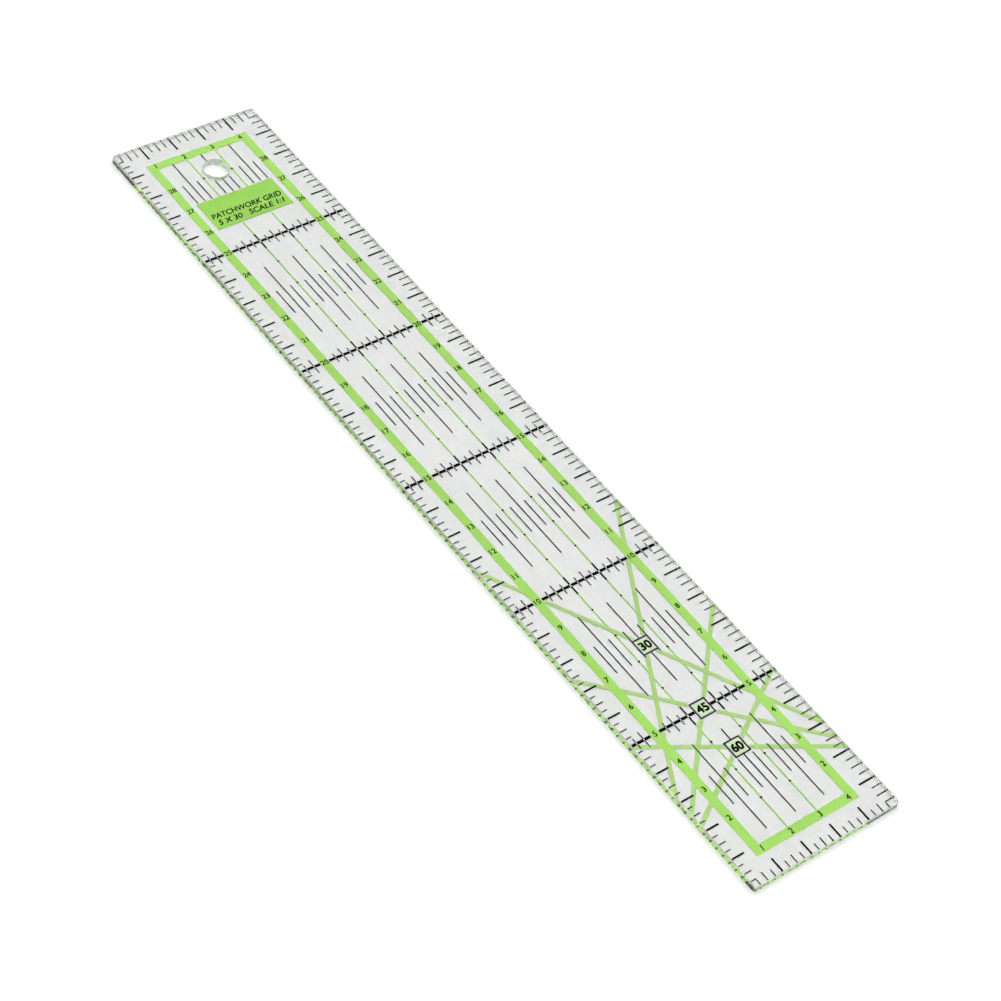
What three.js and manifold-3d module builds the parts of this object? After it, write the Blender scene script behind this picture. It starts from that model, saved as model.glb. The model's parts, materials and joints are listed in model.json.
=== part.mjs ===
// A clear acrylic quilting ruler, 5 cm wide and 30 cm long, with its scale printed on the underside.
//
// Millimetres, +Z up. The origin is the centre of the underside, +Y runs along the length from the
// zero end to the end with the hang hole, and +X runs across the width to the right.
//
// The black ink lies against the acrylic and the green ink lies over it, so the black shows through
// the plate wherever the two cross. Both films sit in pockets that match them, flush with the underside.
import * as THREE from 'three';
import { mergeVertices } from 'three/addons/utils/BufferGeometryUtils.js';
import Module from 'manifold-3d';

const wasm = await Module();
wasm.setup();

// The plate
const WIDTH = 50;
const LENGTH = 300;
const THICKNESS = 2.5;
const CORNER_RADIUS = 0.5;
const CORNER_SEGMENTS = 4;
const HOLE_RADIUS = 4;
const HOLE_FROM_END = 18.3;
const HOLE_SEGMENTS = 48;

// The ink films. The film thickness is a sixteenth, so that faces which touch share one exact height.
const INK = 0.0625;
const EDGE_MARGIN = 0.3;

// The frame band: its inner edge stands one centimetre inside the plate's edge
const FRAME_INSET = 10;
const BAND = 2.7;
const GUIDE_X = [-5, 5];
const GUIDE_WIDTH = 0.42;

// The label panel
const PANEL_HALF_WIDTH = 13.3;
const PANEL_FROM = 259.5;
const PANEL_TO = 271.7;
const PANEL_GAP = 0.3;

// The heavy cross lines, every five centimetres, and their crossing ticks
const CROSS_EVERY = 50;
const CROSS_COUNT = 5;
const CROSS_WIDTH = 0.88;
const BAND_GAP = 0.2;
const THIN = 0.32;
const THICK = 0.52;
const MINOR_TICK = { reach: 1.75, width: THIN };
const HALF_TICK = { reach: 2.75, width: THIN };
const MAJOR_TICK = { reach: 3.3, width: THICK };

// The angle boxes and the lines through them. An angle is counted from the ruler's long axis.
const BOX_SIDE = 5;
const BOX_LINE = 0.4;
const BOX_CLEARANCE = 0.3;
const ANGLE_LINE_WIDTH = 1.25;
const ANGLES = [
  { degrees: 30, centre: 73.9 },
  { degrees: 45, centre: 50 },
  { degrees: 60, centre: 35.8 },
];

const GREEN = { color: 0x8fd948, roughness: 0.6, metalness: 0 };
const PALE_GREEN = { color: 0xdcefc8, roughness: 0.6, metalness: 0 };
const BLACK = { color: 0x111311, roughness: 0.55, metalness: 0 };
const ACRYLIC = { color: 0xe9edec, roughness: 0.08, metalness: 0, transparent: true, opacity: 0.35 };

// How far a cutter runs past the face that it cuts, and how close two corners are to count as one.
const OVERCUT = 1;
const SAME_POINT = 1e-5;

// Solids ------------------------------------------------------------------------------------------

function toSolid(geometry) {
  geometry.deleteAttribute('normal');
  geometry.deleteAttribute('uv');
  const merged = mergeVertices(geometry, SAME_POINT);
  return new wasm.Manifold(new wasm.Mesh({
    numProp: 3,
    vertProperties: new Float32Array(merged.attributes.position.array),
    triVerts: new Uint32Array(merged.index.array),
  }));
}

function toGeometry(solid) {
  const mesh = solid.getMesh();
  const geometry = new THREE.BufferGeometry();
  geometry.setAttribute('position', new THREE.BufferAttribute(mesh.vertProperties, 3));
  geometry.setIndex(new THREE.BufferAttribute(mesh.triVerts, 1));
  geometry.computeVertexNormals();
  return geometry;
}

function prism(shape, low, high, curveSegments) {
  const geometry = new THREE.ExtrudeGeometry(shape, {
    depth: high - low,
    bevelEnabled: false,
    curveSegments,
  });
  geometry.translate(0, 0, low);
  return toSolid(geometry);
}

function rectangle(x0, x1, y0, y1) {
  const shape = new THREE.Shape();
  shape.moveTo(x0, y0);
  shape.lineTo(x1, y0);
  shape.lineTo(x1, y1);
  shape.lineTo(x0, y1);
  shape.closePath();
  return shape;
}

const union = (solids) => solids.reduce((whole, solid) => whole.add(solid));

// An area of ink is the union of its outlines, less the outlines that it keeps clear of, and it ends
// just inside the plate's edge.
function inkSolid({ outlines, clear = [] }, low, high) {
  const x = WIDTH / 2 - EDGE_MARGIN;
  const y = LENGTH / 2 - EDGE_MARGIN;
  const printable = prism(rectangle(-x, x, -y, y), low, high);
  const whole = union(outlines.map((outline) => prism(outline, low, high))).intersect(printable);
  return clear.reduce((left, outline) => left.subtract(prism(outline, low, high + OVERCUT)), whole);
}

// Distance along the ruler from its zero end, as a place on Y.
const along = (distance) => distance - LENGTH / 2;

// The print ---------------------------------------------------------------------------------------

// A straight line of ink through a centre, tilted from the long axis, that crosses both long edges.
function angleLine(degrees, centre) {
  const tilt = THREE.MathUtils.degToRad(degrees);
  const halfLength = (WIDTH / 2 + ANGLE_LINE_WIDTH) / Math.abs(Math.sin(tilt));
  const step = new THREE.Vector2(Math.sin(tilt), Math.cos(tilt));
  const side = new THREE.Vector2(step.y, -step.x).multiplyScalar(ANGLE_LINE_WIDTH / 2);
  const corners = [[1, 1], [-1, 1], [-1, -1], [1, -1]].map(([end, edge]) => new THREE.Vector2(
    end * halfLength * step.x + edge * side.x,
    along(centre) + end * halfLength * step.y + edge * side.y,
  ));
  return new THREE.Shape(corners.reverse());
}

function squareAt(centre, side) {
  return rectangle(-side / 2, side / 2, along(centre) - side / 2, along(centre) + side / 2);
}

// The frame band, the two guide lines and the six angle lines are one connected film.
function greenPrint() {
  const inner = { x: WIDTH / 2 - FRAME_INSET, y: LENGTH / 2 - FRAME_INSET };
  const outer = { x: inner.x + BAND, y: inner.y + BAND };
  const band = rectangle(-outer.x, outer.x, -outer.y, outer.y);
  band.holes.push(rectangle(-inner.x, inner.x, -inner.y, inner.y));
  const guides = GUIDE_X.flatMap((x) => {
    const left = x - GUIDE_WIDTH / 2;
    const right = x + GUIDE_WIDTH / 2;
    return [
      rectangle(left, right, -inner.y - BAND / 2, along(PANEL_FROM) - PANEL_GAP),
      rectangle(left, right, along(PANEL_TO) + PANEL_GAP, inner.y + BAND / 2),
    ];
  });
  const lines = ANGLES.flatMap(({ degrees, centre }) => [
    angleLine(degrees, centre),
    angleLine(-degrees, centre),
  ]);
  const boxes = ANGLES.map(({ centre }) => squareAt(centre, BOX_SIDE + BOX_LINE + 2 * BOX_CLEARANCE));
  return { outlines: [band, ...guides, ...lines], clear: boxes };
}

function labelPanel() {
  return {
    outlines: [rectangle(-PANEL_HALF_WIDTH, PANEL_HALF_WIDTH, along(PANEL_FROM), along(PANEL_TO))],
  };
}

function boxFill(centre) {
  return { outlines: [squareAt(centre, BOX_SIDE - BOX_LINE - 2 * BOX_CLEARANCE)] };
}

function boxOutline(centre) {
  const outline = squareAt(centre, BOX_SIDE + BOX_LINE);
  outline.holes.push(squareAt(centre, BOX_SIDE - BOX_LINE));
  return { outlines: [outline] };
}

// A tick that crosses a heavy line: whole centimetres are the longest, then halves, then quarters.
function crossingTick(distance) {
  if (distance % 10 === 0) return MAJOR_TICK;
  return distance % 5 === 0 ? HALF_TICK : MINOR_TICK;
}

// One stretch of a heavy cross line with its crossing ticks every quarter centimetre.
function crossLine(y, from, to) {
  const bar = rectangle(from, to, y - CROSS_WIDTH / 2, y + CROSS_WIDTH / 2);
  const ticks = [];
  for (let distance = 2.5; distance < WIDTH; distance += 2.5) {
    const x = distance - WIDTH / 2;
    const { reach, width } = crossingTick(distance);
    if (x - width > from && x + width < to) {
      ticks.push(rectangle(x - width / 2, x + width / 2, y - reach, y + reach));
    }
  }
  return { outlines: [bar, ...ticks] };
}

// The stretches of the heavy line at a distance along the ruler: it stops at the two bands, and at a box.
function crossStretches(distance) {
  const edge = WIDTH / 2 - EDGE_MARGIN;
  const innerBand = WIDTH / 2 - FRAME_INSET - BAND_GAP;
  const outerBand = WIDTH / 2 - FRAME_INSET + BAND + BAND_GAP;
  const stretches = [{ name: 'left', from: -edge, to: -outerBand }];
  if (ANGLES.some(({ centre }) => centre === distance)) {
    const box = BOX_SIDE / 2 + BOX_CLEARANCE;
    stretches.push({ name: 'centre_left', from: -innerBand, to: -box });
    stretches.push({ name: 'centre_right', from: box, to: innerBand });
  } else {
    stretches.push({ name: 'centre', from: -innerBand, to: innerBand });
  }
  stretches.push({ name: 'right', from: outerBand, to: edge });
  return stretches;
}

// The plate ---------------------------------------------------------------------------------------

function plateBlank() {
  const x = WIDTH / 2;
  const y = LENGTH / 2;
  const r = CORNER_RADIUS;
  const outline = new THREE.Shape();
  outline.moveTo(-x + r, -y);
  outline.lineTo(x - r, -y);
  outline.absarc(x - r, -y + r, r, -Math.PI / 2, 0, false);
  outline.lineTo(x, y - r);
  outline.absarc(x - r, y - r, r, 0, Math.PI / 2, false);
  outline.lineTo(-x + r, y);
  outline.absarc(-x + r, y - r, r, Math.PI / 2, Math.PI, false);
  outline.lineTo(-x, -y + r);
  outline.absarc(-x + r, -y + r, r, Math.PI, 1.5 * Math.PI, false);
  return prism(outline, 0, THICKNESS, CORNER_SEGMENTS);
}

function hangHole() {
  const circle = new THREE.Shape();
  circle.absarc(0, along(LENGTH - HOLE_FROM_END), HOLE_RADIUS, 0, 2 * Math.PI, false);
  return prism(circle, -OVERCUT, THICKNESS + OVERCUT, HOLE_SEGMENTS / 2);
}

// Assembly ----------------------------------------------------------------------------------------

const ruler = new THREE.Group();
let plate = plateBlank().subtract(hangHole());

function addPiece(name, solid, material) {
  const mesh = new THREE.Mesh(toGeometry(solid), new THREE.MeshStandardMaterial(material));
  mesh.name = name;
  ruler.add(mesh);
}

// Each film fills a pocket of its own outline. Green lies lowest, black against the acrylic above it.
function addInk(name, area, layer, material) {
  const low = layer * INK;
  const high = low + INK;
  addPiece(name, inkSolid(area, low, high), material);
  plate = plate.subtract(inkSolid(area, -OVERCUT, high));
}

const addGreen = (name, area, material = GREEN) => addInk(name, area, 0, material);
const addBlack = (name, area) => addInk(name, area, 1, BLACK);

addGreen('green_frame_print', greenPrint());
addGreen('label_panel', labelPanel());
for (const { degrees, centre } of ANGLES) {
  addGreen(`angle_${degrees}_box_fill`, boxFill(centre), PALE_GREEN);
  addBlack(`angle_${degrees}_box_outline`, boxOutline(centre));
}
for (let index = 1; index <= CROSS_COUNT; index += 1) {
  const distance = index * CROSS_EVERY;
  for (const { name, from, to } of crossStretches(distance)) {
    addBlack(`cross_line_${distance / 10}_cm_${name}`, crossLine(along(distance), from, to));
  }
}
addPiece('acrylic_plate', plate, ACRYLIC);

export default ruler;
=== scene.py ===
"""A clear acrylic quilting ruler on a pale studio floor.

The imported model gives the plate, the boxes, the panel and the cross lines their places. The plate is
rebuilt here with a rounded arris and a true round hole, and all of the print is rebuilt as thin films
inside its underside. Sizes are in millimetres, and a place on the print is given as on the ruler
itself: x from the left edge and y from the zero end.
"""
import json
import math

import bpy
from mathutils import Matrix, Vector
from mathutils.geometry import delaunay_2d_cdt


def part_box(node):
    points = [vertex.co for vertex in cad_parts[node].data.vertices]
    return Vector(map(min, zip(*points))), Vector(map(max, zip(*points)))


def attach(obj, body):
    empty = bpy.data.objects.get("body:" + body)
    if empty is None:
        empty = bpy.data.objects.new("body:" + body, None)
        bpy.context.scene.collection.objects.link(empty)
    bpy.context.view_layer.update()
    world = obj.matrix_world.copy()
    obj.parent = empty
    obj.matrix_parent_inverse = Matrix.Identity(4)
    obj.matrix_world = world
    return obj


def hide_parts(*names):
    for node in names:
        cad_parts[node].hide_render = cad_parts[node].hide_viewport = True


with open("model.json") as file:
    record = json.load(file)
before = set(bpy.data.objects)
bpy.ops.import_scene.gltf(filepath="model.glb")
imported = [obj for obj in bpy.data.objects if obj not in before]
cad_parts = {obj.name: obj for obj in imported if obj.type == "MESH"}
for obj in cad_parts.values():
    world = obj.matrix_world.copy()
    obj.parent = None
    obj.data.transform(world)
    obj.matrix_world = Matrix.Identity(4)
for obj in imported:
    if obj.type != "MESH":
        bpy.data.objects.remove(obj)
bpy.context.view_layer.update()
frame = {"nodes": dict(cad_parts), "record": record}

MM = 0.001
CM = 10

# The plate: its size comes from the model, its fine edges are made here.
PLATE_LOW, PLATE_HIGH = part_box("acrylic_plate")
WIDTH = (PLATE_HIGH.x - PLATE_LOW.x) / MM
LENGTH = (PLATE_HIGH.y - PLATE_LOW.y) / MM
THICKNESS = (PLATE_HIGH.z - PLATE_LOW.z) / MM
CORNER_STEPS = 8
ARRIS = 0.12
ARRIS_STEPS = 4
HOLE_STEPS = 96

# The films: green lies lowest and black over it, all inside the acrylic, which covers them below too.
SEAL = 0.03
FILM = 0.04
BETWEEN_FILMS = 0.02
GREEN_LOW = SEAL
BLACK_LOW = GREEN_LOW + FILM + BETWEEN_FILMS
EDGE_MARGIN = 0.1
SAME_POINT = 1e-4

# Line weights, and the clear gaps that keep neighbouring ink apart
THIN = 0.32
THICK = 0.52
GUIDE_WIDTH = 0.42
ANGLE_LINE_WIDTH = 1.25
BOX_LINE = 0.4
BOX_CLEARANCE = 0.3
BOX_LINE_GAP = 0.02
DOT_DIAMETER = 0.64
DOT_SIDES = 16

# The green frame band: its inner edge is one centimetre inside the plate's edge. The guide lines run
# from end to end of it, and reach a little into its ends.
FRAME_INSET = 10
BAND = 2.7
BAND_MIDDLE = FRAME_INSET - BAND / 2
GUIDES = (20, 30)
GUIDE_OVERLAP = 1

# Tick lengths along the plate's edges and across the heavy cross lines, by what they mark
EDGE_TICKS = {"whole": (5, THICK), "half": (3.2, THIN), "quarter": (2.65, 0.9 * THIN)}
CROSSING_TICKS = {"whole": (3.3, THICK), "half": (2.75, THIN), "quarter": (1.75, THIN)}
CROSS_EVERY = 50
TICK_GAP = 0.01
CROSS_WIDTH = 0.88

# Where the thin lines stand across the ruler, and where they run from and to along it: long lines mark
# the halves and short ones the quarters. A full block lies between two heavy cross lines, and its runs
# are measured from the nearer one. The far block, between the label panel and the far end, has lines of
# its own, as (places across, from, to): the hang hole cuts some of them short.
HALF_COLUMNS = (15, 25, 35)
QUARTER_COLUMNS = (12.5, 17.5, 22.5, 27.5, 32.5, 37.5)
FULL_BLOCK_RUNS = {"long": (10.4, 40.4), "short": (20.4, 30.4)}
NEAR_BLOCK_RUNS = {"long": (12.5, 42.4), "short": (22.6, 32.5)}
FAR_BLOCK_LINES = (
    ((15, 35), 272, 290),
    ((12.5, 17.5, 32.5, 37.5), 272, 280.4),
    ((22.5, 25, 27.5), 272, 278),
    ((25,), 286.5, 290),
)

# The dots on the guides stand a little past each centimetre that no other print marks.
DOT_SHIFT = 0.45
DOT_ROWS = [n for n in range(2, 29) if n % 5 and n not in (26, 27)]

# Lettering: the height, the width where it is fixed, and how far the bold strikes move. A line of the
# label is (wording, y of its middle, width).
BOX_FIGURES = {"height": 2.5, "width": 3.4, "bold": 0.12, "detail": 4}
NUMERALS = {"height": 1.7, "bold": 0.03}
LABEL_LETTERS = {"height": 2.0, "bold": 0.05, "slant": 0.25}
LABEL_LINES = (("PATCHWORK GRID", 264.9, 24.5), ("5 X 30   SCALE 1:1", 262.0, 23.4))


# Flat shapes -------------------------------------------------------------------------------------

def rectangle(x0, x1, y0, y1):
    return [(x0, y0), (x1, y0), (x1, y1), (x0, y1)]


def square(x, y, side):
    return rectangle(x - side / 2, x + side / 2, y - side / 2, y + side / 2)


def circle(x, y, radius, steps):
    turns = [2 * math.pi * step / steps for step in range(steps)]
    return [(x + radius * math.cos(turn), y + radius * math.sin(turn)) for turn in turns]


def signed_area(outline):
    """Twice the area inside an outline, positive where it runs counterclockwise."""
    pairs = zip(outline, [*outline[1:], outline[0]])
    return sum(x0 * y1 - x1 * y0 for (x0, y0), (x1, y1) in pairs)


def fill(ink, clear=()):
    """The points and triangles that cover the union of the ink outlines, less the clear ones.

    An ink outline that runs clockwise is a hole in a shape, and takes one layer of ink away.
    """
    points = []
    faces = []
    layers = []
    for outline in [*ink, *clear]:
        runs_left = signed_area(outline) > 0
        layers.append(1 if runs_left else -1)
        faces.append(list(range(len(points), len(points) + len(outline))))
        turned = outline if runs_left else outline[::-1]
        points += [Vector((x - WIDTH / 2, y - LENGTH / 2)) for x, y in turned]
    places, _, triangles, _, _, insides = delaunay_2d_cdt(points, [], faces, 1, SAME_POINT, True)
    kept = []
    for triangle, inside in zip(triangles, insides):
        cleared = any(outline >= len(ink) for outline in inside)
        if not cleared and sum(layers[outline] for outline in inside) > 0:
            kept.append(triangle)
    return [(place.x + WIDTH / 2, place.y + LENGTH / 2) for place in places], kept


def connected(faces):
    """Faces grouped into the separate shapes that they form."""
    groups = []
    for face in faces:
        corners = set(face.vertices)
        joined = [group for group in groups if group[0] & corners]
        groups = [group for group in groups if not group[0] & corners]
        members = [face] + [member for _, members in joined for member in members]
        groups.append((corners.union(*(group[0] for group in joined)), members))
    return [members for _, members in groups]


def rim_edges(corner_lists):
    """The edges that only one face has, in that face's direction."""
    edges = {(face[i - 1], face[i]) for face in corner_lists for i in range(len(face))}
    return sorted((a, b) for a, b in edges if (b, a) not in edges)


def rim_loops(faces):
    """The closed outlines of a shape: its outside runs counterclockwise, its holes clockwise."""
    following = dict(rim_edges([tuple(face.vertices) for face in faces]))
    loops = []
    while following:
        start, here = following.popitem()
        loop = [start]
        while here != start:
            loop.append(here)
            here = following.pop(here)
        loops.append(loop)
    return loops


def glyphs(text, x, y, height, bold, width=None, slant=0.0, detail=3):
    """Figures or words of a given size centred on a place, as one list of outlines for each shape.

    Each shape is struck four times, moved by the bold distance to each side and up and down.
    """
    curve = bpy.data.curves.new("lettering", "FONT")
    curve.body = text
    curve.resolution_u = detail
    curve.shear = slant
    holder = bpy.data.objects.new("lettering", curve)
    mesh = bpy.data.meshes.new_from_object(holder)
    xs = [vertex.co.x for vertex in mesh.vertices]
    ys = [vertex.co.y for vertex in mesh.vertices]
    rise = height / (max(ys) - min(ys))
    spread = width / (max(xs) - min(xs)) if width else rise
    middle = Vector(((min(xs) + max(xs)) / 2, (min(ys) + max(ys)) / 2))
    strikes = [(x + i * bold, y + j * bold) for i in (-1, 1) for j in (-1, 1)]
    letters = []
    for group in connected(mesh.polygons):
        letter = []
        for loop in rim_loops(group):
            corners = [mesh.vertices[index].co for index in loop]
            shape = [((c.x - middle.x) * spread, (c.y - middle.y) * rise) for c in corners]
            letter += [[(a + left, b + down) for a, b in shape] for left, down in strikes]
        letters.append(letter)
    bpy.data.objects.remove(holder)
    bpy.data.meshes.remove(mesh)
    bpy.data.curves.remove(curve)
    return letters


# Solids ------------------------------------------------------------------------------------------

def to_row(x, y, z):
    """A place on the ruler, in millimetres, as a place in the row frame, in metres."""
    return (PLATE_LOW.x + x * MM, PLATE_LOW.y + y * MM, PLATE_LOW.z + z * MM)


def from_row(point):
    """A place in the row frame as x and y on the ruler, in millimetres."""
    return (point[0] - PLATE_LOW.x) / MM, (point[1] - PLATE_LOW.y) / MM


def hang_hole():
    """The hole's centre comes from the opening in the record, its radius from the plate's own mesh."""
    low, high = frame["record"]["physics"]["openings"][0]["box_m"]
    x, y = from_row(((low[0] + high[0]) / 2, (low[1] + high[1]) / 2))
    plate = frame["nodes"]["acrylic_plate"].data
    corners = [from_row(vertex.co) for vertex in plate.vertices]
    radius = min(math.hypot(corner[0] - x, corner[1] - y) for corner in corners)
    return x, y, radius


def add_piece(name, vertices, faces, material, replaces=()):
    mesh = bpy.data.meshes.new(name)
    mesh.from_pydata(vertices, [], faces)
    mesh.materials.append(material)
    piece = bpy.data.objects.new(name, mesh)
    bpy.context.scene.collection.objects.link(piece)
    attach(piece, "root")
    if replaces:
        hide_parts(*replaces)
    return piece


def add_film(name, prints, low, material, slot, clear=(), replaces=()):
    """Closed films of ink, one for each list of shapes: their union, less the clear ones."""
    vertices = []
    faces = []
    for ink_shapes in prints:
        points, triangles = fill(ink_shapes, clear)
        used = sorted({index for triangle in triangles for index in triangle})
        place = {index: len(vertices) + number for number, index in enumerate(used)}
        count = len(used)
        vertices += [to_row(*points[index], low) for index in used]
        vertices += [to_row(*points[index], low + FILM) for index in used]
        caps = [tuple(place[index] for index in triangle) for triangle in triangles]
        faces += [(c, b, a) for a, b, c in caps]
        faces += [(a + count, b + count, c + count) for a, b, c in caps]
        faces += [(a, b, b + count, a + count) for a, b in rim_edges(caps)]
    return add_piece(name, vertices, faces, material, replaces)


# Materials ---------------------------------------------------------------------------------------

class Nodes:
    """A short way to write a node material."""

    def __init__(self, name):
        self.material = bpy.data.materials.new(name)
        self.material.use_nodes = True
        self.tree = self.material.node_tree
        self.tree.nodes.clear()
        self.output = self.add("ShaderNodeOutputMaterial")
        self.place = self.add("ShaderNodeTexCoord").outputs["Object"]

    def add(self, kind, **settings):
        node = self.tree.nodes.new(kind)
        for name, value in settings.items():
            setattr(node, name, value)
        return node

    def link(self, source, target):
        self.tree.links.new(source, target)

    def noise(self, scale, detail):
        """Noise over the object, from 0 to 1, whose features are about 1/scale metres across."""
        texture = self.add("ShaderNodeTexNoise")
        texture.inputs["Scale"].default_value = scale
        texture.inputs["Detail"].default_value = detail
        self.link(self.place, texture.inputs["Vector"])
        return texture.outputs["Fac"]

    def ramp(self, value, start, end, low, high):
        """Carries a value that runs from start to end over to a range from low to high."""
        spread = self.add("ShaderNodeMapRange")
        spread.inputs["From Min"].default_value = start
        spread.inputs["From Max"].default_value = end
        spread.inputs["To Min"].default_value = low
        spread.inputs["To Max"].default_value = high
        self.link(value, spread.inputs["Value"])
        return spread.outputs["Result"]

    def between(self, value, low, high):
        """Spreads the middle of a noise over a range."""
        return self.ramp(value, 0.3, 0.7, low, high)

    def blend(self, value, first, second):
        """A colour between two, by a noise."""
        mix = self.add("ShaderNodeMix", data_type="RGBA")
        mix.inputs["A"].default_value = (*first, 1)
        mix.inputs["B"].default_value = (*second, 1)
        self.link(self.between(value, 0, 1), mix.inputs["Factor"])
        return mix.outputs["Result"]

    def height(self):
        """Height over the object's origin, in metres."""
        split = self.add("ShaderNodeSeparateXYZ")
        self.link(self.place, split.inputs["Vector"])
        return split.outputs["Z"]

    def above(self, height):
        """1 where the surface is higher than a height in millimetres, otherwise 0."""
        higher = self.add("ShaderNodeMath", operation="GREATER_THAN")
        higher.inputs[1].default_value = height * MM
        self.link(self.height(), higher.inputs[0])
        return higher.outputs["Value"]

    def near_hole(self):
        """1 on the wall of the hang hole, otherwise 0."""
        x, y, radius = hang_hole()
        flat = self.add("ShaderNodeVectorMath", operation="MULTIPLY")
        flat.inputs[1].default_value = (1, 1, 0)
        reach = self.add("ShaderNodeVectorMath", operation="DISTANCE")
        reach.inputs[1].default_value = (*to_row(x, y, 0)[:2], 0)
        closer = self.add("ShaderNodeMath", operation="LESS_THAN")
        closer.inputs[1].default_value = (radius + 2 * ARRIS) * MM
        self.link(self.place, flat.inputs[0])
        self.link(flat.outputs["Vector"], reach.inputs[0])
        self.link(reach.outputs["Value"], closer.inputs[0])
        return closer.outputs["Value"]

    def product(self, first, second):
        """Two values multiplied, kept from 0 to 1."""
        multiply = self.add("ShaderNodeMath", operation="MULTIPLY", use_clamp=True)
        self.link(first, multiply.inputs[0])
        self.link(second, multiply.inputs[1])
        return multiply.outputs["Value"]

    def constant(self, value):
        """The same value everywhere, as a socket that other nodes take."""
        node = self.add("ShaderNodeValue")
        node.outputs[0].default_value = value
        return node.outputs[0]

    def choose(self, choice, first, second, data_type="FLOAT"):
        """The first where a choice is 0, the second where it is 1. Colours need data_type RGBA."""
        mix = self.add("ShaderNodeMix", data_type=data_type)
        sockets = [socket for socket in mix.inputs if socket.enabled]
        factor = next(socket for socket in sockets if socket.name == "Factor")
        ends = [socket for socket in sockets if socket.name in ("A", "B")]
        self.link(choice, factor)
        self.link(first, ends[0])
        self.link(second, ends[1])
        return next(socket for socket in mix.outputs if socket.enabled)

    def bump(self, value, strength, distance):
        """A normal that a noise tilts, as relief of a given distance in metres would."""
        bump = self.add("ShaderNodeBump")
        bump.inputs["Strength"].default_value = strength
        bump.inputs["Distance"].default_value = distance
        self.link(value, bump.inputs["Height"])
        return bump.outputs["Normal"]

    def shader(self, colour, roughness, normal=None, transmission=None, **uniform):
        """Finishes with a Principled shader. Uniform values are set on its own sockets."""
        shader = self.add("ShaderNodeBsdfPrincipled")
        self.link(colour, shader.inputs["Base Color"])
        self.link(roughness, shader.inputs["Roughness"])
        if normal:
            self.link(normal, shader.inputs["Normal"])
        if transmission:
            self.link(transmission, shader.inputs["Transmission Weight"])
        for name, value in uniform.items():
            shader.inputs[name.replace("_", " ")].default_value = value
        self.link(shader.outputs["BSDF"], self.output.inputs["Surface"])
        return self.material


ACRYLIC_IOR = 1.49
SURFACE_GLARE = (0.1, 0.1, 0.1, 1)
DEPTH_TINT = (0.2, 0.9, 0.2, 1)
DEPTH_DENSITY = 2
# The sides are clearest below the first of these fractions of the thickness and cloudiest above the
# second. The cloudier upper part shows their pale green as a painted highlight.
CLEAR_UP_TO = 0.4
CLOUDIEST_FROM = 0.8


def clear_acrylic():
    """Acrylic: polished faces, frosted pale green saw-cut sides, and a faint grey underside that is
    painted shade.

    The sides' pale green is partly the acrylic's own edge tint and partly painted glow of the green
    print's light.
    The sides let most light through near the underside and about half of it near the top, so their
    upper half shows that green as a painted highlight.
    """
    nodes = Nodes("clear_acrylic")
    off_underside = nodes.above(ARRIS / 2)
    on_top = nodes.above(THICKNESS - ARRIS / 2)
    haze = nodes.noise(90, 3)
    saw_marks = nodes.noise(700, 3)
    # The grey underside is painted shade: it darkens the floor seen through the plate.
    underside_shade = nodes.blend(haze, (0.785, 0.785, 0.785), (0.805, 0.805, 0.805))
    clear = nodes.blend(haze, (0.96, 0.965, 0.96), (0.98, 0.985, 0.98))
    # The sides' pale green is partly the acrylic's own edge tint and partly painted glow of the green
    # print's light.
    sawn_tint_and_painted_glow = nodes.blend(saw_marks, (0.88, 0.98, 0.79), (0.97, 1.0, 0.88))
    bored = nodes.blend(saw_marks, (0.84, 0.88, 0.87), (0.90, 0.94, 0.93))
    at_hole = nodes.near_hole()
    wall = nodes.choose(at_hole, sawn_tint_and_painted_glow, bored, "RGBA")
    below_top = nodes.choose(off_underside, underside_shade, wall, "RGBA")
    colour = nodes.choose(on_top, below_top, clear, "RGBA")
    polished = nodes.between(haze, 0.01, 0.03)
    frosted = nodes.between(saw_marks, 0.12, 0.04)
    roughness = nodes.choose(on_top, nodes.choose(off_underside, polished, frosted), polished)
    bottom, top = CLEAR_UP_TO * THICKNESS * MM, CLOUDIEST_FROM * THICKNESS * MM
    # Less clear towards the top, the sides show their pale green there as a painted highlight.
    clearer_below = nodes.ramp(nodes.height(), bottom, top, 1.0, 0.5)
    sawn_through = nodes.product(clearer_below, nodes.between(saw_marks, 0.8, 1.1))
    through = nodes.choose(at_hole, sawn_through, nodes.between(saw_marks, 0.35, 0.6))
    all_through = nodes.constant(1)
    transmission = nodes.choose(on_top, nodes.choose(off_underside, all_through, through), all_through)
    depth = nodes.add("ShaderNodeVolumeAbsorption")
    depth.inputs["Color"].default_value = DEPTH_TINT
    depth.inputs["Density"].default_value = DEPTH_DENSITY
    nodes.link(depth.outputs["Volume"], nodes.output.inputs["Volume"])
    normal = nodes.bump(haze, 0.02, 0.00005)
    uniform = {"IOR": ACRYLIC_IOR, "Specular_Tint": SURFACE_GLARE}
    return nodes.shader(colour, roughness, normal, transmission, **uniform)


def ink(name, first, second):
    """Screen-printed ink: a fine grain from the printing mesh, and slow changes of strength."""
    nodes = Nodes(name)
    grain = nodes.noise(4000, 1)
    strength = nodes.noise(250, 3)
    colour = nodes.blend(strength, first, second)
    roughness = nodes.between(grain, 0.5, 0.65)
    return nodes.shader(colour, roughness, nodes.bump(grain, 0.2, 0.00002), Specular_IOR_Level=0.0)


def floor_paper():
    """Matte white studio paper."""
    nodes = Nodes("floor_paper")
    fibre = nodes.noise(900, 4)
    colour = nodes.blend(fibre, (0.69, 0.69, 0.69), (0.71, 0.71, 0.71))
    roughness = nodes.between(fibre, 0.85, 0.95)
    return nodes.shader(colour, roughness, Specular_IOR_Level=0.1)


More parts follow.
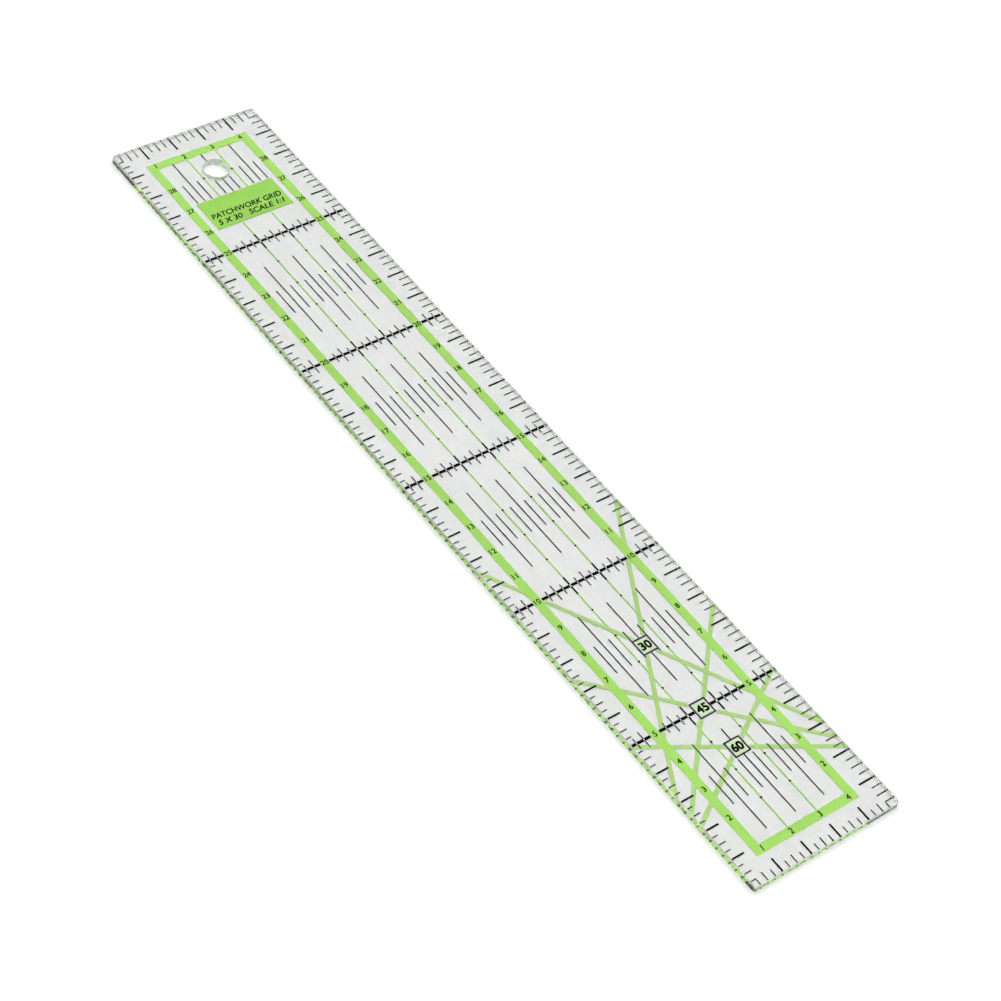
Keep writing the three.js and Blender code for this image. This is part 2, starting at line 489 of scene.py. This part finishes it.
ACRYLIC = clear_acrylic()
GREEN = ink("green_ink", (0.51, 0.90, 0.20), (0.53, 0.91, 0.22))
LINE_GREEN = ink("line_green_ink", (0.57, 0.81, 0.32), (0.59, 0.83, 0.34))
PANEL_GREEN = ink("panel_green_ink", (0.44, 0.78, 0.16), (0.46, 0.80, 0.18))
PALE_GREEN = ink("pale_green_ink", (0.83, 1.0, 0.66), (0.85, 1.0, 0.68))
BLACK = ink("black_ink", (0.001, 0.001, 0.001), (0.004, 0.004, 0.004))


def add_green(name, ink_shapes, material=GREEN, **more):
    return add_film(name, [ink_shapes], GREEN_LOW, material, "green_ink", **more)


def add_pale_green(name, ink_shapes, **more):
    return add_film(name, [ink_shapes], GREEN_LOW, PALE_GREEN, "pale_green_ink", **more)


def add_black(name, ink_shapes, **more):
    return add_film(name, [ink_shapes], BLACK_LOW, BLACK, "black_ink", **more)


def add_lettering(name, letters):
    return add_film(name, letters, BLACK_LOW, BLACK, "black_ink")


# The plate ---------------------------------------------------------------------------------------

def arris_profile():
    """Steps up the side of the plate, from the underside to the top face.

    Each is (inset, height, outward part of the normal, upward part of the normal).
    """
    lower = []
    for step in range(ARRIS_STEPS + 1):
        turn = math.pi / 2 * step / ARRIS_STEPS
        out, down = math.sin(turn), math.cos(turn)
        lower.append((ARRIS * (1 - out), ARRIS * (1 - down), out, -down))
    upper = [(inset, THICKNESS - height, out, -up) for inset, height, out, up in reversed(lower)]
    return lower + upper


def corner_radius():
    """Where the straight part of the zero end begins, from the corner of the plate's box."""
    places = [from_row(vertex.co) for vertex in frame["nodes"]["acrylic_plate"].data.vertices]
    return min(x for x, y in places if abs(y) < SAME_POINT)


def outline_ring(inset):
    """The plate's rounded outline as (x, y, outward x, outward y), counterclockwise."""
    ring = []
    radius = corner_radius()
    for quarter, (side, end) in enumerate([(1, 1), (-1, 1), (-1, -1), (1, -1)]):
        x = WIDTH / 2 + side * (WIDTH / 2 - radius)
        y = LENGTH / 2 + end * (LENGTH / 2 - radius)
        for step in range(CORNER_STEPS + 1):
            turn = math.pi / 2 * (quarter + step / CORNER_STEPS)
            out = Vector((math.cos(turn), math.sin(turn)))
            reach = radius - inset
            ring.append((x + reach * out.x, y + reach * out.y, out.x, out.y))
    return ring


def hole_ring(inset):
    """The hang hole's wall, in the same form. Out of the acrylic is towards the hole's axis."""
    x, y, radius = hang_hole()
    ring = []
    for step in range(HOLE_STEPS):
        turn = 2 * math.pi * step / HOLE_STEPS
        away = Vector((math.cos(turn), math.sin(turn)))
        reach = radius + inset
        ring.append((x + reach * away.x, y + reach * away.y, -away.x, -away.y))
    return ring


def add_wall(make_ring, direction, vertices, normals, faces):
    """Adds rings from the underside to the top face and the faces between them. Returns the rings."""
    rings = []
    for inset, height, outward, upward in arris_profile():
        ring = make_ring(inset)
        rings.append(range(len(vertices), len(vertices) + len(ring)))
        vertices += [to_row(x, y, height) for x, y, _, _ in ring]
        normals += [(outward * out_x, outward * out_y, upward) for _, _, out_x, out_y in ring]
    for lower, upper in zip(rings, rings[1:]):
        for i in range(len(lower)):
            j = (i + 1) % len(lower)
            faces.append((lower[i], lower[j], upper[j], upper[i])[::direction])
    return rings


def flat_face(outline, hole, vertices):
    """The triangles between the outline's ring and the hole's, counterclockwise from above."""
    rim = [*outline, *hole]
    corners = [Vector(vertices[index][:2]) / MM for index in rim]
    loops = [list(range(len(outline))), list(range(len(outline), len(rim)))]
    made = delaunay_2d_cdt(corners, [], loops, 1, SAME_POINT, True)
    _, _, triangles, originals, _, insides = made
    names = [rim[same[0]] for same in originals]
    kept = [triangle for triangle, inside in zip(triangles, insides) if inside == [0]]
    return [tuple(names[corner] for corner in triangle) for triangle in kept]


def add_plate():
    """A wall up the outline and one up the hole, closed by one flat face below and one above."""
    vertices = []
    normals = []
    faces = []
    outline = add_wall(outline_ring, 1, vertices, normals, faces)
    hole = add_wall(hole_ring, -1, vertices, normals, faces)
    faces += [triangle[::-1] for triangle in flat_face(outline[0], hole[0], vertices)]
    faces += flat_face(outline[-1], hole[-1], vertices)
    plate = add_piece("plate_clear_body", vertices, faces, ACRYLIC, ["acrylic_plate"])
    plate.data.shade_smooth()
    plate.data.normals_split_custom_set_from_vertices(normals)


# The green print ---------------------------------------------------------------------------------

def beyond_edges():
    """Four strips that keep ink off the plate's edges and everything outside them."""
    outside = 2 * WIDTH
    x0, x1 = -outside, WIDTH + outside
    y0, y1 = -outside, LENGTH + outside
    return [
        rectangle(x0, EDGE_MARGIN, y0, y1),
        rectangle(WIDTH - EDGE_MARGIN, x1, y0, y1),
        rectangle(x0, x1, y0, EDGE_MARGIN),
        rectangle(x0, x1, LENGTH - EDGE_MARGIN, y1),
    ]


def angle_boxes():
    """Each angle's box, as its degrees with the x and y of its centre and its outer side."""
    boxes = {}
    for degrees in (30, 45, 60):
        low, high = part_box(f"angle_{degrees}_box_outline")
        x, y = from_row((low + high) / 2)
        boxes[degrees] = (x, y, (high.x - low.x) / MM)
    return boxes


def angle_line(degrees, x, y):
    """A line through a centre, tilted from the ruler's length, long enough to cross both edges."""
    tilt = math.radians(degrees)
    along = Vector((math.sin(tilt), math.cos(tilt))) * WIDTH / abs(math.sin(tilt))
    side = Vector((math.cos(tilt), -math.sin(tilt))) * ANGLE_LINE_WIDTH / 2
    centre = Vector((x, y))
    start, end = centre - along, centre + along
    return [tuple(corner) for corner in (start + side, end + side, end - side, start - side)]


def panel_rectangle(margin=0.0):
    low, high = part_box("label_panel")
    x0, y0 = from_row(low)
    x1, y1 = from_row(high)
    return rectangle(x0 - margin, x1 + margin, y0 - margin, y1 + margin)


def frame_band():
    """The four sides of the frame band, which overlap at its corners."""
    x0, x1 = FRAME_INSET - BAND, WIDTH - FRAME_INSET + BAND
    y0, y1 = FRAME_INSET - BAND, LENGTH - FRAME_INSET + BAND
    return [
        rectangle(x0, x0 + BAND, y0, y1),
        rectangle(x1 - BAND, x1, y0, y1),
        rectangle(x0, x1, y0, y0 + BAND),
        rectangle(x0, x1, y1 - BAND, y1),
    ]


def guide_windows():
    """Where a guide line crosses a heavy cross line, a small window stays clear of ink."""
    rows = range(CROSS_EVERY, int(LENGTH), CROSS_EVERY)
    half = CROSS_WIDTH / 2
    return [rectangle(x - THICK / 2, x + THICK / 2, y - half, y + half) for x in GUIDES for y in rows]


def guide_lines():
    y0, y1 = FRAME_INSET - GUIDE_OVERLAP, LENGTH - FRAME_INSET + GUIDE_OVERLAP
    return [rectangle(x - GUIDE_WIDTH / 2, x + GUIDE_WIDTH / 2, y0, y1) for x in GUIDES]


def add_green_print():
    boxes = angle_boxes()
    clear = guide_windows() + [panel_rectangle(BOX_CLEARANCE)]
    clear += [square(x, y, side + 2 * BOX_CLEARANCE) for x, y, side in boxes.values()]
    frame_shapes = frame_band() + guide_lines()
    add_green("frame_and_guide_lines", frame_shapes, clear=clear, replaces=["green_frame_print"])
    lines = []
    for degrees, (x, y, _) in boxes.items():
        lines.append(angle_line(degrees, x, y))
        lines.append(angle_line(-degrees, x, y))
    add_green("angle_lines", lines, LINE_GREEN, clear=beyond_edges() + frame_shapes + clear)
    add_green("label_panel_print", [panel_rectangle()], PANEL_GREEN, replaces=["label_panel"])
    for degrees, (x, y, side) in boxes.items():
        inner = side - 2 * BOX_LINE - 2 * BOX_CLEARANCE
        name = f"angle_{degrees}_box"
        add_pale_green(f"{name}_ground", [square(x, y, inner)], replaces=[f"{name}_fill"])


# The black print ---------------------------------------------------------------------------------

def mark(distance):
    """What a distance marks on the centimetre scale."""
    if distance % CM == 0:
        return "whole"
    return "half" if distance % (CM / 2) == 0 else "quarter"


def quarters(length):
    """Every quarter centimetre between the two ends of a length."""
    return [CM / 4 * step for step in range(1, round(length / (CM / 4)))]


def add_edge_ticks():
    """Ticks on the four edges. An end's first and last ones stop just short of the sides' ticks."""
    sides = {"left": [], "right": []}
    for y in quarters(LENGTH):
        if y % CROSS_EVERY == 0:
            continue
        reach, width = EDGE_TICKS[mark(y)]
        y0, y1 = y - width / 2, y + width / 2
        sides["left"].append(rectangle(EDGE_MARGIN, reach, y0, y1))
        sides["right"].append(rectangle(WIDTH - reach, WIDTH - EDGE_MARGIN, y0, y1))
    ends = {"near": [], "far": []}
    across = quarters(WIDTH)
    for x in across:
        reach, width = EDGE_TICKS[mark(x)]
        if x in (across[0], across[-1]):
            reach = CM / 4 - THIN
        x0, x1 = x - width / 2, x + width / 2
        ends["near"].append(rectangle(x0, x1, EDGE_MARGIN, reach))
        ends["far"].append(rectangle(x0, x1, LENGTH - reach, LENGTH - EDGE_MARGIN))
    for name, shapes in {**sides, **ends}.items():
        add_black(f"edge_ticks_{name}", shapes)


def cross_line(x0, x1, y):
    """A heavy line across the ruler. Ticks stand on it and under it, and leave a clear window in it."""
    half = CROSS_WIDTH / 2
    shapes = []
    start = x0
    for x in quarters(WIDTH):
        reach, width = CROSSING_TICKS[mark(x)]
        left, right = x - width / 2, x + width / 2
        if left <= x0 + width or right >= x1 - width:
            continue
        shapes.append(rectangle(start, left, y - half, y + half))
        shapes.append(rectangle(left + TICK_GAP, right - TICK_GAP, y + half, y + reach))
        shapes.append(rectangle(left + TICK_GAP, right - TICK_GAP, y - reach, y - half))
        start = right
    shapes.append(rectangle(start, x1, y - half, y + half))
    return shapes


def add_cross_lines():
    for node in sorted(name for name in frame["nodes"] if name.startswith("cross_line")):
        low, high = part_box(node)
        x0, y0 = from_row(low)
        x1, y1 = from_row(high)
        add_black(f"{node}_print", cross_line(x0, x1, (y0 + y1) / 2), replaces=[node])


def add_angle_boxes():
    for degrees, (x, y, side) in angle_boxes().items():
        name = f"angle_{degrees}_box"
        hollow = [square(x, y, side - 2 * BOX_LINE)]
        add_black(f"{name}_border", [square(x, y, side)], clear=hollow, replaces=[f"{name}_outline"])
        add_lettering(f"angle_{degrees}_figures", glyphs(str(degrees), x, y, **BOX_FIGURES))


def block_lines(start, runs):
    """The thin lines of one block as (x, from, to)."""
    lines = []
    for columns, (low, high) in ((HALF_COLUMNS, runs["long"]), (QUARTER_COLUMNS, runs["short"])):
        lines += [(x, start + low, start + high) for x in columns]
    return lines


def add_quarter_lines():
    """The thin lines, which the angle boxes interrupt."""
    lines = []
    for start in range(CROSS_EVERY, int(LENGTH) - CROSS_EVERY, CROSS_EVERY):
        lines += block_lines(start, FULL_BLOCK_RUNS)
    lines += block_lines(0, NEAR_BLOCK_RUNS)
    lines += [(x, low, high) for columns, low, high in FAR_BLOCK_LINES for x in columns]
    shapes = [rectangle(x - THIN / 2, x + THIN / 2, low, high) for x, low, high in lines]
    clear = [square(x, y, side + 2 * BOX_LINE_GAP) for x, y, side in angle_boxes().values()]
    add_black("quarter_lines", shapes, clear=clear)


def add_guide_dots():
    for name, x in zip(("left", "right"), GUIDES):
        dots = [circle(x, n * CM + DOT_SHIFT, DOT_DIAMETER / 2, DOT_SIDES) for n in DOT_ROWS]
        add_black(f"guide_dots_{name}", dots)


def add_numerals():
    """The centimetres, on the middle of the frame band: 2 to 28 up the sides and 1 to 4 on the ends."""
    for name, x in (("left", BAND_MIDDLE), ("right", WIDTH - BAND_MIDDLE)):
        letters = []
        for n in range(2, 29):
            letters += glyphs(str(n), x, n * CM, **NUMERALS)
        add_lettering(f"numerals_{name}", letters)
    for name, y in (("near", BAND_MIDDLE), ("far", LENGTH - BAND_MIDDLE)):
        letters = []
        for n in range(1, 5):
            letters += glyphs(str(n), n * CM, y, **NUMERALS)
        add_lettering(f"numerals_{name}", letters)


def add_label_words():
    """Two lines of plain, general wording on the label panel."""
    letters = []
    for text, y, width in LABEL_LINES:
        letters += glyphs(text, WIDTH / 2, y, width=width, **LABEL_LETTERS)
    add_lettering("label_words", letters)


# The studio --------------------------------------------------------------------------------------

# The camera, in millimetres and degrees. Its target is measured from the ruler's middle.
CAMERA_TARGET = (-2.6, -15.7, 0)
CAMERA_DISTANCE = 712.2
CAMERA_HEADING = 47.6
CAMERA_ELEVATION = 47.48
CAMERA_ROLL = 13.97
CAMERA_LENS = 93.2
FLOOR_DROP = 0.1
FLOOR_RADIUS = 8000
FLOOR_SIDES = 64

# The overhead light fades out between two angles from straight up, and the horizon's light between
# two heights of the direction.
OVERHEAD_LIGHT = 3.85
OVERHEAD_FADE = (27, 37)
SKY_LIGHT = 0.48
HORIZON_LIGHT = 1.02
HORIZON_FADE = (0.2, 0.5)


def add_floor():
    vertices = [(x * MM, y * MM, -FLOOR_DROP * MM) for x, y in circle(0, 0, FLOOR_RADIUS, FLOOR_SIDES)]
    mesh = bpy.data.meshes.new("floor")
    mesh.from_pydata(vertices, [], [tuple(range(len(vertices)))])
    mesh.materials.append(floor_paper())
    floor = bpy.data.objects.new("floor", mesh)
    bpy.context.scene.collection.objects.link(floor)


def add_sky():
    """A wide soft overhead light and a white horizon, with a darker band between them."""
    world = bpy.data.worlds.new("studio")
    world.use_nodes = True
    tree = world.node_tree
    tree.nodes.clear()
    direction = tree.nodes.new("ShaderNodeTexCoord").outputs["Generated"]

    overhead = tree.nodes.new("ShaderNodeVectorMath")
    overhead.operation = "DOT_PRODUCT"
    overhead.inputs[1].default_value = (0, 0, 1)
    softbox = tree.nodes.new("ShaderNodeMapRange")
    softbox.interpolation_type = "SMOOTHSTEP"
    softbox.inputs["From Min"].default_value = math.cos(math.radians(OVERHEAD_FADE[1]))
    softbox.inputs["From Max"].default_value = math.cos(math.radians(OVERHEAD_FADE[0]))
    softbox.inputs["To Min"].default_value = SKY_LIGHT
    softbox.inputs["To Max"].default_value = OVERHEAD_LIGHT

    split = tree.nodes.new("ShaderNodeSeparateXYZ")
    horizon = tree.nodes.new("ShaderNodeMapRange")
    horizon.interpolation_type = "SMOOTHSTEP"
    horizon.inputs["From Min"].default_value = HORIZON_FADE[0]
    horizon.inputs["From Max"].default_value = HORIZON_FADE[1]
    horizon.inputs["To Min"].default_value = HORIZON_LIGHT
    horizon.inputs["To Max"].default_value = 0.0

    total = tree.nodes.new("ShaderNodeMath")
    total.operation = "MAXIMUM"
    background = tree.nodes.new("ShaderNodeBackground")
    background.inputs["Color"].default_value = (1, 1, 1, 1)
    output = tree.nodes.new("ShaderNodeOutputWorld")
    tree.links.new(direction, overhead.inputs[0])
    tree.links.new(overhead.outputs["Value"], softbox.inputs["Value"])
    tree.links.new(direction, split.inputs["Vector"])
    tree.links.new(split.outputs["Z"], horizon.inputs["Value"])
    tree.links.new(softbox.outputs["Result"], total.inputs[0])
    tree.links.new(horizon.outputs["Result"], total.inputs[1])
    tree.links.new(total.outputs["Value"], background.inputs["Strength"])
    tree.links.new(background.outputs["Background"], output.inputs["Surface"])
    bpy.context.scene.world = world


def add_camera():
    """Looks down along the ruler from beyond its near left corner, rolled a little to the left."""
    heading = math.radians(CAMERA_HEADING)
    elevation = math.radians(CAMERA_ELEVATION)
    roll = math.radians(CAMERA_ROLL)
    forward = Vector((
        math.sin(heading) * math.cos(elevation),
        math.cos(heading) * math.cos(elevation),
        -math.sin(elevation),
    ))
    level = forward.cross(Vector((0, 0, 1))).normalized()
    upright = level.cross(forward)
    right = math.cos(roll) * level + math.sin(roll) * upright
    up = math.cos(roll) * upright - math.sin(roll) * level
    place = Matrix((right, up, -forward)).transposed().to_4x4()
    place.translation = (Vector(CAMERA_TARGET) - forward * CAMERA_DISTANCE) * MM
    lens = bpy.data.cameras.new("camera")
    lens.lens = CAMERA_LENS
    lens.clip_start = 0.01
    lens.clip_end = 50
    camera = bpy.data.objects.new("camera", lens)
    camera.matrix_world = place
    bpy.context.scene.collection.objects.link(camera)
    bpy.context.scene.camera = camera
    bpy.context.scene.view_settings.view_transform = "Standard"
    bpy.context.scene.cycles.blur_glossy = 0


# Assembly ----------------------------------------------------------------------------------------

add_camera()
add_sky()
add_floor()
add_plate()
add_green_print()
add_angle_boxes()
add_cross_lines()
add_edge_ticks()
add_quarter_lines()
add_guide_dots()
add_numerals()
add_label_words()

bpy.context.view_layer.update()
